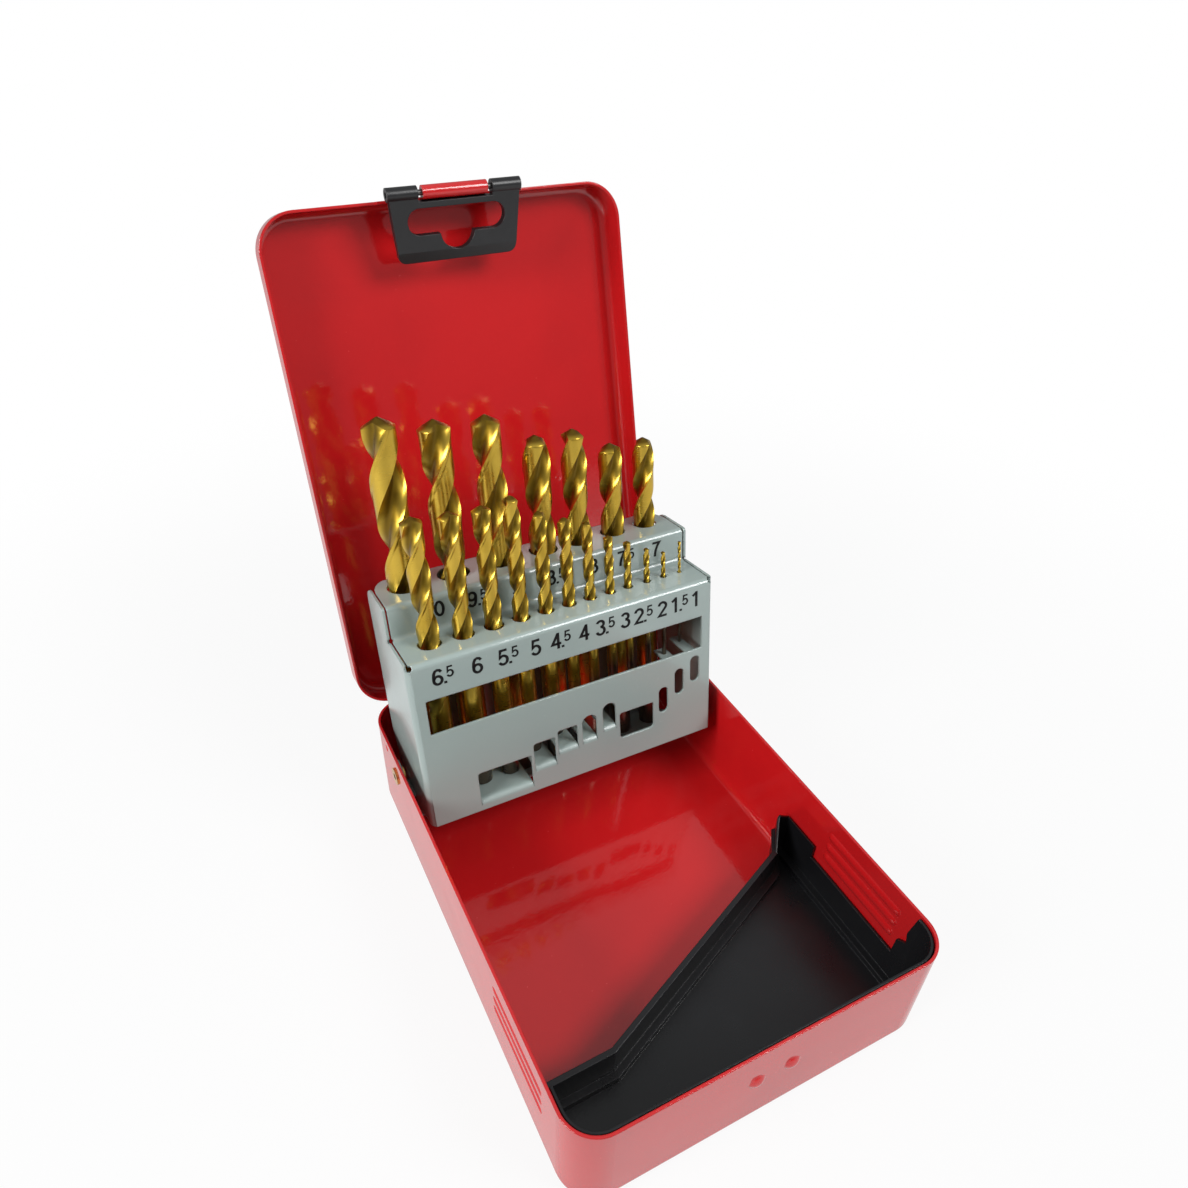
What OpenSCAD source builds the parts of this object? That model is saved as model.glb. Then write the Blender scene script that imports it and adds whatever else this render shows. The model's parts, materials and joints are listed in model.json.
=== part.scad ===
// Metal drill bit case with a hinged lid, a tilting index for nineteen bits and a plastic clasp.
// Millimetres. Origin: centre of the underside. Front (clasp side) is -Y, hinge is +Y, up is +Z.
// Drawn as it stands open: lid against its stop, index tilted back, clasp hanging.

/* [Case] */
// Width of the base over its side walls
case_w = 110; // [104:0.5:120]
// Length of the base over its end walls
case_l = 152.4; // [150:0.2:164]
// Height of the base rim above the table
base_h = 35; // [34:0.5:38]
// Outside corner radius seen from above
corner_r = 10; // [8:0.5:12]
// Outside radius where a wall turns into the bottom or the lid panel
press_r = 3; // [2:0.25:4]
// Sheet thickness of base and lid
sheet = 0.8; // [0.6:0.05:1]

/* [Grip ribs] */
// Number of ribs pressed into each side wall
rib_count = 3; // [2:1:3]
// Height of the lowest rib's centre
rib_z = 18.5; // [17:0.5:20]
// Distance between ribs
rib_pitch = 4.6; // [4:0.2:5]
// Radius of the pressing punch
rib_r = 2; // [1.6:0.1:2.2]
// Depth of a rib
rib_depth = 0.6; // [0.4:0.1:0.8]
// Radius of the punch of the small dent near the hinge
dent_r = 1.6; // [1.2:0.1:2]
// Dent below the rim
dent_drop = 3.5; // [3:0.1:5]
// Dent in front of the rear wall's outside
dent_back = 16.8; // [14:0.2:20]
// Start of the ribs behind the front wall
rib_start = 19; // [18:1:24]
// Straight length of a rib
rib_len = 27; // [18:1:30]

/* [Lid] */
// Outside depth of the lid
lid_depth = 9.6; // [9.4:0.2:12]
// How far the lid skirt reaches over the base rim
lid_overlap = 1; // [0.6:0.1:1.6]
// Clearance between lid skirt and side wall
lid_side_gap = 0.7; // [0.4:0.1:1]
// Clearance between lid skirt and end wall
lid_end_gap = 0.4; // [0.3:0.05:0.6]
// Opening angle at the stop
lid_open = 105.6; // [98:0.2:110]

/* [Hinge] */
// Hinge axis below the base rim
hinge_drop = 5; // [4:0.25:6]
// Hinge axis behind the rear wall
hinge_back = 1.9; // [1.9:0.05:2.4]
// Diameter of the hinge wire
wire_d = 1.5; // [1.2:0.1:1.6]
// How far the hinge wire stands out of the end knuckles
wire_end = 0.6; // [0.4:0.1:1]
// Outside diameter of a rolled knuckle
knuckle_d = 3; // [2.6:0.1:3.1]
// Length of one knuckle
knuckle_len = 12; // [8:1:16]
// Gap between neighbouring knuckles
knuckle_gap = 0.3; // [0.2:0.05:0.5]

/* [Clasp] */
// Width of the clasp at its ears
clasp_w = 40.6; // [38:0.2:44]
// How much each side of the clasp narrows to the bottom
clasp_taper = 2; // [0:0.25:3]
// Distance from the clasp pin to the lower edge
clasp_drop = 19; // [18:0.5:22]
// Thickness of the clasp plate
clasp_t = 2.4; // [2:0.1:3]
// Diameter of the clasp ears
ear_d = 3.9; // [3.6:0.1:4]
// Length of one clasp ear
ear_len = 9; // [7:0.5:10]
// Diameter of the clasp pin
clasp_pin_d = 1.6; // [1.3:0.1:1.8]
// How deep the ends of the clasp pin lie in the ears
clasp_pin_sink = 0.4; // [0.2:0.1:0.8]
// Clasp pin below the lid skirt's edge
clasp_pin_drop = 6.5; // [6:0.25:8]
// Width of the rolled tongue on the lid
tongue_w = 19.6; // [16:0.2:20]
// Outside diameter of the tongue's roll
roll_d = 3.8; // [3.4:0.1:3.9]
// Room between the tongue's roll and the clasp's bar
roll_gap = 0.35; // [0.3:0.05:0.6]
// Width of the window in the clasp
window_w = 30; // [26:0.5:31]
// Height of the window in the clasp
window_h = 7.4; // [7:0.1:8]
// Bar between the clasp pin and the window
bar_h = 3.9; // [3.6:0.1:4.4]
// Diameter of the finger notch below the window
notch_d = 10.6; // [9:0.2:12]
// Middle of the notch below the middle of the window
notch_drop = 3.1; // [2:0.1:4]
// Diameter of a snap dimple on the front wall
dimple_d = 4.8; // [2.4:0.1:5]
// How far a dimple stands out
dimple_h = 1; // [0.6:0.1:1.1]
// Step at the lower side of a dimple, below its middle
dimple_step = 1.3; // [0.6:0.1:2]
// Distance between the two dimples
dimple_pitch = 10.6; // [8:0.2:14]
// Room between the shut clasp and the dimples
clasp_gap = 0.3; // [0.3:0.05:0.6]
// Bevel at the lower edge of the clasp: depth and height
clasp_bevel = [0.8, 3.2];
// Lead-in behind the lower edge of the clasp, over the rim: depth and height
clasp_lead = [0.95, 6.5];
// Radius of the lower corners of the clasp
clasp_corner_r = 2.4; // [1:0.2:4]
// Length of the deeper skirt beside the tongue
apron_len = 12; // [10:0.5:14]
// Drop of the deeper skirt beside the tongue
apron_drop = 1.2; // [0.6:0.1:1.6]

/* [Index] */
// Room between the index and the case on each side, over the case's full width
index_gap = 4.25; // [4:0.05:5]
// Sheet thickness of the index
index_t = 0.8; // [0.7:0.05:0.9]
// Height of the numbered front face
face_h = 58.1; // [57:0.1:60]
// Depth of the lower shelf
shelf_d = 16.5; // [16:0.1:17]
// Height of the riser between the shelves
riser_h = 11; // [10:0.2:12]
// Depth of the upper shelf
top_d = 19.2; // [19:0.1:19.6]
// Ledge under the large bits, below the front face
ledge_drop = 10.4; // [9.5:0.1:11]
// Front edge of that ledge behind the front face
ledge_front = 20; // [18:0.5:22]
// Radius of the bends
bend_r = 1.6; // [1.2:0.1:2]
// Radius of the upper shelf's rear corners
shelf_corner_r = 8; // [4:0.5:9]
// Slit between shelves and side plates
slit = 0.5; // [0.4:0.1:0.8]
// Radius of the relief holes in the corners
relief_r = 1.1; // [1:0.1:1.5]
// Middle of the front relief holes inside the bend
relief_in = 0.9; // [0.6:0.1:1.2]
// Inset of the back plate's ends
back_inset = 9; // [6:0.5:12]
// Pivot above the front face's lower edge
pivot_up = 7.5; // [7:0.1:8]
// Pivot behind the front face
pivot_in = 20.8; // [20.5:0.1:21.5]
// Pivot height above the table
pivot_z = 26.3; // [25.8:0.1:26.6]
// Pivot in front of the rear wall's outside
pivot_back = 24.8; // [24.6:0.1:26]
// Backward lean of the index when open
index_lean = 9.65; // [6:0.05:12]
// Outside radius of the pivot ears
pivot_ear_r = 5; // [4:0.25:5.5]
// Clearance between pivot ear and wall
ear_gap = 0.3; // [0.2:0.05:0.4]
// Radius of the bends between face and side plates
face_bend_r = 2.4; // [1.6:0.1:3]
// Inset of the side plates' rear edge
plate_inset = 1.5; // [1:0.1:2]
// Height of the heel of the side plates
plate_heel = 16; // [14:0.5:20]
// Radius of the lower corners of the side plates
plate_r = 3; // [2:0.5:4]
// Foot of the side plates: behind and above the pivot
plate_foot = [[9, -6], [3, -11], [-6, -11]];
// Slanted corner between back plate and ledge: depth and height
ledge_corner = [2.1, 5.2];

/* [Rivets] */
// Outside diameter of the hollow rivets
rivet_d = 3.6; // [3:0.1:4]
// Bore of the hollow rivets
rivet_bore = 2.2; // [1.8:0.1:2.4]
// Diameter of the rivet flanges
flange_d = 5.6; // [5:0.1:6.4]
// Thickness of a rivet flange
flange_t = 0.5; // [0.4:0.05:0.6]

/* [Windows] */
// Lower edge of the long window above the face's lower edge
long_z = 33.6; // [33:0.2:36]
// Height of the long window
long_h = 11.9; // [9:0.1:12.5]
// Side margin of the long window
long_margin = 4.2; // [4:0.2:8]
// Room beside a shank in a small window
window_side = 1.3; // [0.9:0.1:1.4]

/* [Bits] */
// Diameters in the front row, left to right
front_d = [6.5, 6, 5.5, 5, 4.5, 4, 3.5, 3, 2.5, 2, 1.5, 1];
// Lengths in the front row
front_l = [97, 93, 92.5, 88, 78, 73.5, 68.5, 58, 54.5, 46, 38, 37];
// Flute lengths in the front row
front_f = [63, 57, 56, 56, 44, 40, 37, 30, 27, 22, 16, 11];
// Positions across the index in the front row
front_x = [-40.4, -30, -20.4, -11.6, -3.4, 4.4, 11.6, 18.6, 25, 31.8, 37.9, 43.9];
// Seat heights above the face's lower edge in the front row
front_seat = [0.8, 3.8, 3.8, 9.2, 12.6, 13.2, 15.2, 19.4, 19.4, 23.8, 29, 32];
// Diameters in the back row
back_d = [10, 9.5, 9, 8.5, 8, 7.5, 7];
// Lengths in the back row
back_l = [131, 127.5, 126, 117, 116.5, 109.5, 109];
// Flute lengths in the back row
back_f = [87, 81, 81, 75, 75, 69, 69];
// Positions across the index in the back row
back_x = [-40.6, -25.3, -10, 4.8, 17.2, 29.7, 41.6];
// Length of one turn of a flute, in diameters
lead_ratio = 5.44; // [4.5:0.1:6.5]
// Thickness of the web between the flutes, in diameters
web = 0.45; // [0.3:0.05:0.5]
// Angle of the cutting point
point_angle = 118; // [115:1:140]
// Flutes ground below the shank's radius
land_relief = 0.03; // [0.01:0.01:0.05]
// Front row behind the front face
front_row = 9.5; // [9:0.1:10]
// Back row behind the riser
back_row = 11; // [10.6:0.1:11.2]
// Clearance of a shelf hole on the diameter
hole_play = 0.6; // [0.4:0.05:0.8]
// Heights of the windows at the seats, left to right
seat_window_h = [0, 10.6, 10.6, 9, 7.4, 8.8, 8.8, 10, 10, 9.8, 9.8, 9.8];
// Width of the windows under the three smallest bits
small_window_w = 3.6; // [3:0.1:4]
// Length of a seat behind the middle of its bit
seat_reach = 3.5; // [3:0.1:4]
// Outside radius of the bend between face and seat
seat_bend_r = 1.8; // [1.2:0.1:2.2]
// Slit beside a seat in its window
seat_slit = 0.15; // [0.1:0.05:0.3]
// Radius of the corners of the square windows
window_r = 0.9; // [0.5:0.1:1.5]

/* [Tray] */
// Wall thickness of the tray
tray_t = 0.7; // [0.5:0.05:0.9]
// Clearance between tray and base
tray_gap = 0.4; // [0.3:0.05:0.6]
// Height of the low walls above the table
tray_wall = 13.4; // [12:0.2:14]
// Height of the front wall above the table
tray_front = 34.3; // [30:0.1:34.4]
// Height of the pointed corner above the table
tray_peak = 21; // [18:0.5:24]
// Width of the lip on the low walls
tray_lip = 0.9; // [0.5:0.1:1.2]
// Outline of the rear edge: x and distance from the front
tray_edge = [[-60, 24.6], [-31, 25.2], [-12, 33.4], [44, 57.4], [46, 60.4], [49, 64.5], [60, 64.5]];
// Where the front wall ends on the left, behind the front
tray_left = 16; // [12:0.5:18]
// Where the front wall ends on the right, behind the front
tray_right = 12; // [10:0.5:16]
// Torn end of the front wall: distance behind that place, and height
tray_tear = [[4, 0], [3, 20], [0, 22], [0.8, 26], [-1.6, 40]];
// Distance of the tip of the pointed corner from the middle
tray_tip = 49.6; // [48:0.2:51]
// Fall of the pointed corner towards the wall
tray_fall = 3.4; // [2:0.2:5]

/* [Hidden] */

yf = -case_l / 2;
yr = case_l / 2;
hinge_y = yr + hinge_back;
hinge_z = base_h - hinge_drop;
skirt_z = base_h - lid_overlap;
lid_top = skirt_z + lid_depth;
lid_w = case_w + 2 * (lid_side_gap + sheet);
lid_l = case_l + 2 * (lid_end_gap + sheet);
lid_r = corner_r + lid_end_gap + sheet;
play = 0.05;
over = 1;
far = 2 * case_l;
knuckles = 5;
leaf_t = 0.8 * sheet;
hinge_len = knuckles * knuckle_len;
clasp_y = yf - lid_end_gap - roll_d / 2;
clasp_z = skirt_z - clasp_pin_drop;
clasp_open = lid_point([clasp_y, clasp_z]);
dimple_z = clasp_z - bar_h - dimple_d / 2 - 0.15;
clasp_back = yf - dimple_h - clasp_gap;
pivot_y = yr - pivot_back;
index_d = shelf_d + top_d;
index_h = face_h + riser_h;
index_w = case_w - 2 * index_gap;
hw = index_w / 2;
// middles of the holes, given for an index 101.5 wide and spread with its width
places_w = 101.5;
spread = index_w / places_w;
front_c = [for (x = front_x) x * spread];
back_c = [for (x = back_x) x * spread];
back_v = shelf_d + back_row;
ear_x = case_w / 2 - sheet - ear_gap;
ear_t = index_t;
ear_drop = pivot_ear_r + 2;
neck_w = 2 * pivot_ear_r - 1.2;
win_t = 2 * index_t + 2 * over;
slot_x = hw - index_t - slit;

// A point of the closed lid's side view, turned to where it lies when open.
function lid_point(p) = let (dy = p[0] - hinge_y, dz = p[1] - hinge_z)
  [hinge_y + dy * cos(lid_open) + dz * sin(lid_open), hinge_z - dy * sin(lid_open) + dz * cos(lid_open)];

// Unit vector from a to b.
function unit(a, b) = (b - a) / norm(b - a);

// Points of a fillet of radius r at corner p between neighbours a and b.
function corner(a, p, b, r, n = 4) = let (u = unit(p, a), w = unit(p, b), c = u * w,
    t = r * sqrt((1 + c) / (1 - c)), m = unit([0, 0], u + w), k = r / sqrt((1 - c) / 2),
    o = p + m * k, s = p + u * t, e = p + w * t,
    a0 = atan2(s[1] - o[1], s[0] - o[0]), a1 = atan2(e[1] - o[1], e[0] - o[0]),
    d = ((a1 - a0 + 540) % 360) - 180)
  [for (i = [0 : n]) o + r * [cos(a0 + d * i / n), sin(a0 + d * i / n)]];

// A closed outline with every corner rounded by its own radius.
function rounded(pts, rs, n = 4) = let (k = len(pts))
  [for (i = [0 : k - 1]) for (q = (rs[i] > 0
    ? corner(pts[(i + k - 1) % k], pts[i], pts[(i + 1) % k], rs[i], n) : [pts[i]])) q];

// Everything that rides on the lid is drawn closed and turned open here.
module on_lid() {
  translate([0, hinge_y, hinge_z]) rotate([-lid_open, 0, 0]) translate([0, -hinge_y, -hinge_z]) children();
}

// Index frame: X across, Y behind the front face, Z up from the front face's lower edge.
module on_index() {
  translate([0, pivot_y, pivot_z]) rotate([-index_lean, 0, 0]) translate([0, -pivot_in, -pivot_up])
    children();
}

// A straight bar along X with a side view given in Y and Z.
module along_x(x0, x1) {
  translate([x0, 0, 0]) rotate([90, 0, 90]) linear_extrude(height = x1 - x0) children();
}

// Half section of a pressed pan's edge, wall at the right, bottom at zero.
module press_section(reach, h, rb) {
  square([reach - rb, h]);
  translate([0, rb]) square([reach, h - rb]);
  translate([reach - rb, rb]) circle(r = rb, $fn = 48);
}

// Solid block with round corners in plan and a round lower edge.
module pan(w, l, h, r, rb) {
  for (x = [-1, 1], y = [-1, 1]) translate([x * (w / 2 - r), y * (l / 2 - r), 0])
    rotate_extrude($fn = 64) press_section(r, h, rb);
  for (s = [0, 180]) rotate([0, 0, s]) {
    rotate([90, 0, 0]) translate([0, 0, -(l / 2 - r)]) linear_extrude(height = l - 2 * r)
      press_section(w / 2, h, rb);
    rotate([90, 0, 90]) translate([0, 0, -(w / 2 - r)]) linear_extrude(height = w - 2 * r)
      press_section(l / 2, h, rb);
  }
}

// Thin pan open at the top.
module pressed_pan(w, l, h, r, rb, t) {
  difference() {
    pan(w, l, h, r, rb);
    translate([0, 0, t]) pan(w - 2 * t, l - 2 * t, h, r - t, rb - t);
  }
}

// One grip rib as a rod with round ends, of the given radius.
module rib_rod(z, r) {
  translate([case_w / 2 - rib_depth + rib_r, yf + rib_start, z]) {
    rotate([-90, 0, 0]) cylinder(r = r, h = rib_len, $fn = 32);
    sphere(r = r, $fn = 32);
    translate([0, rib_len, 0]) sphere(r = r, $fn = 32);
  }
}

// Punch of the small dent in the right wall, of the given radius.
module side_dent(r) {
  translate([case_w / 2 - rib_depth + dent_r, yr - dent_back, base_h - dent_drop]) sphere(r = r, $fn = 32);
}

module snap_dimple(r, h) {
  // spherical cap that stands h out of the front wall
  big = (r * r + h * h) / (2 * h);
  translate([0, yf - h + big, 0]) sphere(r = big, $fn = 48);
}

// Hinge knuckle with its bore, from x0 to x1.
module knuckle(x0, x1) {
  translate([x0, hinge_y, hinge_z]) rotate([0, 90, 0]) cylinder(d = knuckle_d, h = x1 - x0, $fn = 40);
}

module wire_bore(x0, x1) {
  translate([x0 - over, hinge_y, hinge_z]) rotate([0, 90, 0])
    cylinder(d = wire_d + 2 * play, h = x1 - x0 + 2 * over, $fn = 40);
}

module base_shell() {
  color("firebrick") difference() {
    union() {
      pressed_pan(case_w, case_l, base_h, corner_r, press_r, sheet);
      // inside of the grip ribs
      for (s = [0, 1]) mirror([s, 0, 0]) for (i = [0 : rib_count - 1]) intersection() {
        rib_rod(rib_z + i * rib_pitch, rib_r + sheet);
        translate([case_w / 2 - 3 * sheet, yf, 0]) cube([2.5 * sheet, case_l, base_h]);
      }
      for (s = [0, 1]) mirror([s, 0, 0]) intersection() {
        side_dent(dent_r + sheet);
        translate([case_w / 2 - 3 * sheet, yf, 0]) cube([2.5 * sheet, case_l, base_h]);
      }
      // snap dimples, each with a step at its lower side
      for (s = [-1, 1]) translate([s * dimple_pitch / 2, 0, dimple_z]) intersection() {
        snap_dimple(dimple_d / 2, dimple_h);
        translate([-dimple_d, yf - dimple_d, -dimple_step])
          cube([2 * dimple_d, dimple_d + sheet / 2, 2 * dimple_d]);
      }
      // odd knuckles and the leaf that joins them to the rear wall
      for (i = [0 : 2 : knuckles - 1]) let (x0 = -hinge_len / 2 + i * knuckle_len + knuckle_gap / 2,
          x1 = x0 + knuckle_len - knuckle_gap) {
        knuckle(x0, x1);
        translate([x0, yr - sheet / 2, hinge_z - knuckle_d / 2])
          cube([x1 - x0, hinge_back + sheet / 2, leaf_t]);
      }
    }
    for (s = [0, 1]) mirror([s, 0, 0]) {
      for (i = [0 : rib_count - 1]) rib_rod(rib_z + i * rib_pitch, rib_r);
      side_dent(dent_r);
      translate([case_w / 2 - 4 * sheet, pivot_y, pivot_z]) rotate([0, 90, 0])
        cylinder(d = rivet_d, h = 8 * sheet, $fn = 40);
    }
    wire_bore(-hinge_len / 2, hinge_len / 2);
  }
}

module lid_shell() {
  color("crimson") on_lid() difference() {
    union() {
      translate([0, 0, lid_top]) mirror([0, 0, 1])
        pressed_pan(lid_w, lid_l, lid_depth, lid_r, press_r, sheet);
      // even knuckles and their leaves
      for (i = [1 : 2 : knuckles - 1]) let (x0 = -hinge_len / 2 + i * knuckle_len + knuckle_gap / 2,
          x1 = x0 + knuckle_len - knuckle_gap) {
        knuckle(x0, x1);
        translate([x0, yr + lid_end_gap, hinge_z])
          cube([x1 - x0, sheet, skirt_z - hinge_z + sheet]);
      }
      // deeper skirt on both sides of the tongue
      along_x(-tongue_w / 2 - apron_len, tongue_w / 2 + apron_len)
        translate([yf - lid_end_gap - sheet, skirt_z - apron_drop]) square([sheet, apron_drop + sheet]);
      // tongue and its roll
      translate([-tongue_w / 2, yf - lid_end_gap - sheet, clasp_z])
        cube([tongue_w, sheet, skirt_z - clasp_z + sheet]);
      translate([-tongue_w / 2, clasp_y, clasp_z]) rotate([0, 90, 0])
        cylinder(d = roll_d, h = tongue_w, $fn = 40);
    }
    wire_bore(-hinge_len / 2, hinge_len / 2);
    translate([-clasp_w / 2, clasp_y, clasp_z]) rotate([0, 90, 0])
      cylinder(d = clasp_pin_d + 2 * play, h = clasp_w, $fn = 40);
  }
}

module hinge_wire() {
  color("silver") translate([-hinge_len / 2 - wire_end, hinge_y, hinge_z]) rotate([0, 90, 0])
    cylinder(d = wire_d, h = hinge_len + 2 * wire_end, $fn = 40);
}

// The clasp is drawn closed in front of the base, then hung from the open lid.
module hang() {
  translate([0, clasp_open[0] - clasp_y, clasp_open[1] - clasp_z]) children();
}

module clasp() {
  low = clasp_z - clasp_drop;
  win = clasp_z - bar_h - window_h / 2;
  front = clasp_back - clasp_t;
  color("dimgray") hang() difference() {
    union() {
      for (s = [0, 1]) mirror([s, 0, 0]) translate([clasp_w / 2 - ear_len, clasp_y, clasp_z])
        rotate([0, 90, 0]) cylinder(d = ear_d, h = ear_len, $fn = 40);
      intersection() {
        along_x(-clasp_w / 2, clasp_w / 2) polygon([[clasp_back - clasp_lead[0], low],
          [clasp_back, low + clasp_lead[1]], [clasp_back, clasp_z], [front, clasp_z],
          [front, low + clasp_bevel[1]], [front + clasp_bevel[0], low]]);
        translate([0, yf, 0]) rotate([90, 0, 0]) linear_extrude(height = 4 * clasp_t)
          polygon(rounded([[-clasp_w / 2, clasp_z + ear_d], [clasp_w / 2, clasp_z + ear_d],
            [clasp_w / 2 - clasp_taper, low], [-clasp_w / 2 + clasp_taper, low]],
            [0, 0, clasp_corner_r, clasp_corner_r]));
      }
    }
    // room for the lid's rolled tongue
    translate([-clasp_w / 2 + ear_len, front - over, clasp_z - roll_d / 2 - roll_gap])
      cube([clasp_w - 2 * ear_len, 2 * ear_d, 2 * ear_d]);
    // window with round ends and the finger notch
    for (s = [-1, 1]) translate([s * (window_w - window_h) / 2, front - over, win]) rotate([-90, 0, 0])
      cylinder(d = window_h, h = clasp_t + 2 * over, $fn = 40);
    translate([-(window_w - window_h) / 2, front - over, win - window_h / 2])
      cube([window_w - window_h, clasp_t + 2 * over, window_h]);
    translate([0, front - over, win - notch_drop]) rotate([-90, 0, 0])
      cylinder(d = notch_d, h = clasp_t + 2 * over, $fn = 40);
    translate([-clasp_w, clasp_y, clasp_z]) rotate([0, 90, 0])
      cylinder(d = clasp_pin_d + 2 * play, h = 2 * clasp_w, $fn = 40);
  }
}

module clasp_pin() {
  color("gray") hang() translate([-clasp_w / 2 + clasp_pin_sink, clasp_y, clasp_z]) rotate([0, 90, 0])
    cylinder(d = clasp_pin_d, h = clasp_w - 2 * clasp_pin_sink, $fn = 40);
}

// Side view of the index sheet: face, shelf, riser, shelf, back and ledge, as a filled outline.
function index_outer() = rounded([[0, 0], [0, face_h], [shelf_d, face_h], [shelf_d, index_h],
  [index_d, index_h], [index_d, ledge_corner[1] - ledge_drop - index_t],
  [index_d - ledge_corner[0], -ledge_drop - index_t],
  [ledge_front, -ledge_drop - index_t]],
  [0, bend_r, bend_r, bend_r, bend_r, bend_r, bend_r, 0]);
function index_inner() = rounded([[index_t, -far], [index_t, face_h - index_t],
  [shelf_d + index_t, face_h - index_t], [shelf_d + index_t, index_h - index_t],
  [index_d - index_t, index_h - index_t], [index_d - index_t, ledge_corner[1] - ledge_drop - index_t],
  [index_d - ledge_corner[0] - index_t, -ledge_drop], [ledge_front, -ledge_drop], [ledge_front, -far]],
  [0, bend_r - index_t, bend_r + index_t, bend_r - index_t, bend_r - index_t, bend_r - index_t,
   bend_r - index_t, 0, 0]);

// Side view of a side plate.
function plate_outline() = rounded(concat([[-over, 0], [-over, face_h], [shelf_d, face_h], [shelf_d, index_h],
  [index_d - plate_inset, index_h], [index_d - plate_inset, plate_heel]],
  [for (p = plate_foot) [pivot_in, pivot_up] + p], [[plate_r * 2, 0]]),
  [0, 0, 0, 1, plate_r + 2, plate_r, plate_r, plate_r, plate_r, plate_r]);

module index_channel() {
  // front face and side plates in one bend
  r = face_bend_r;
  intersection() {
    translate([0, 0, -far]) linear_extrude(height = 2 * far) difference() {
      polygon(rounded([[-hw, far], [-hw, 0], [hw, 0], [hw, far]], [0, r, r, 0], 5));
      polygon(rounded([[-hw + index_t, far + over], [-hw + index_t, index_t], [hw - index_t, index_t],
        [hw - index_t, far + over]], [0, r - index_t, r - index_t, 0], 5));
    }
    along_x(-hw - over, hw + over) polygon(plate_outline());
    // above the lower shelf only the side plates go on
    union() {
      translate([-hw - over, -over, -far]) cube([index_w + 2 * over, far, far + face_h - bend_r]);
      for (s = [0, 1]) mirror([s, 0, 0]) translate([hw - index_t - 0.01, -over, -far])
        cube([index_t + over, far, 2 * far]);
    }
  }
}

module index_sheet() {
  // shelves, riser, back plate and ledge, between the slits
  intersection() {
    along_x(-slot_x, slot_x) difference() {
      polygon(index_outer());
      polygon(index_inner());
    }
    translate([0, 0, -far]) linear_extrude(height = 2 * far) polygon(rounded([[-slot_x, -over], [slot_x, -over],
      [slot_x, index_d + 0.01], [-slot_x, index_d + 0.01]], [0, 0, shelf_corner_r, shelf_corner_r], 6));
  }
}

module index_ear() {
  // joggled ear that reaches out to the case wall, below the pivot
  along_x(ear_x - ear_t, ear_x) {
    translate([pivot_in, pivot_up]) circle(r = pivot_ear_r, $fn = 48);
    translate([pivot_in - neck_w / 2, pivot_up - ear_drop]) square([neck_w, ear_drop]);
  }
  translate([hw - index_t / 2, pivot_in - neck_w / 2, pivot_up - ear_drop])
    cube([ear_x - hw + index_t / 2, neck_w, ear_t]);
}

// Flat seat behind the front face, with its top at the given height.
module flat_seat(i) {
  w = front_d[i] + 2 * (window_side - play);
  translate([front_c[i] - w / 2, index_t / 2, front_seat[i] - index_t])
    cube([w, front_row + seat_reach - index_t / 2, index_t]);
}

// Seat rolled in over the lower edge of a window from x0 to x1, with its top at z.
module rolled_seat(x0, x1, z) {
  r = seat_bend_r;
  reach = front_row + seat_reach;
  along_x(x0 + seat_slit, x1 - seat_slit) polygon(rounded([[0, z - r - over], [0, z], [reach, z],
    [reach, z - index_t], [index_t, z - index_t], [index_t, z - r - over]],
    [0, r, 0, 0, r - index_t, 0]));
}

// Window in the front face from x0 to x1 and z0 to z1, with its upper corners rounded by r.
module face_window(x0, x1, z0, z1, r, low_r) {
  translate([0, index_t + 0.6, 0]) rotate([90, 0, 0]) linear_extrude(height = win_t)
    polygon(rounded([[x0, z0], [x1, z0], [x1, z1], [x0, z1]], [low_r, low_r, r, r], 5));
}

// Width of the window over a rolled seat of its own.
function own_w(i) = front_d[i] + window_side * (i < 5 ? 2 : 1);

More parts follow.
